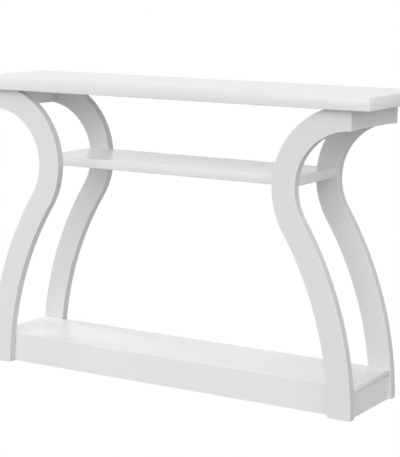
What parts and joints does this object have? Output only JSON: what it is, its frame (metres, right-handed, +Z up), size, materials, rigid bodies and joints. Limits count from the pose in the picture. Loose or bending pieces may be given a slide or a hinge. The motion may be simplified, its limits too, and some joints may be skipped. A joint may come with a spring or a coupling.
{
  "type": "console table",
  "caption": "Long narrow console table with a thick flat top, S-curved board legs, a narrow mid shelf and a low plinth base that makes a second shelf.",
  "frame": {"origin": "on the floor under the middle of the table", "axes": "+X along the length, +Y from the front to the back, +Z up"},
  "size_m": [1.2, 0.32, 0.813],
  "materials": {
    "white_laminate": "white satin melamine on board, softened edges",
    "steel_bolt": "zinc plated",
    "zinc_cam": "die-cast zinc, dull",
    "white_plastic": "white moulded plastic",
    "beech": "plain beech, fluted"
  },
  "bodies": {
    "root": {"top_panel": "white_laminate", "leg_front_left": "white_laminate", "leg_front_right": "white_laminate", "leg_rear_left": "white_laminate", "leg_rear_right": "white_laminate", "top_rail_left": "white_laminate", "top_rail_right": "white_laminate", "mid_shelf": "white_laminate", "base_board": "white_laminate", "apron_front": "white_laminate", "apron_rear": "white_laminate", "apron_end_left": "white_laminate", "apron_end_right": "white_laminate", "base_brace": "white_laminate", "cam_bolts": "steel_bolt", "cam_discs": "zinc_cam", "cam_caps": "white_plastic", "wood_dowels": "beech", "angle_blocks": "white_plastic", "block_screws": "steel_bolt", "foot_glides": "white_plastic"}
  },
  "joints": []
}
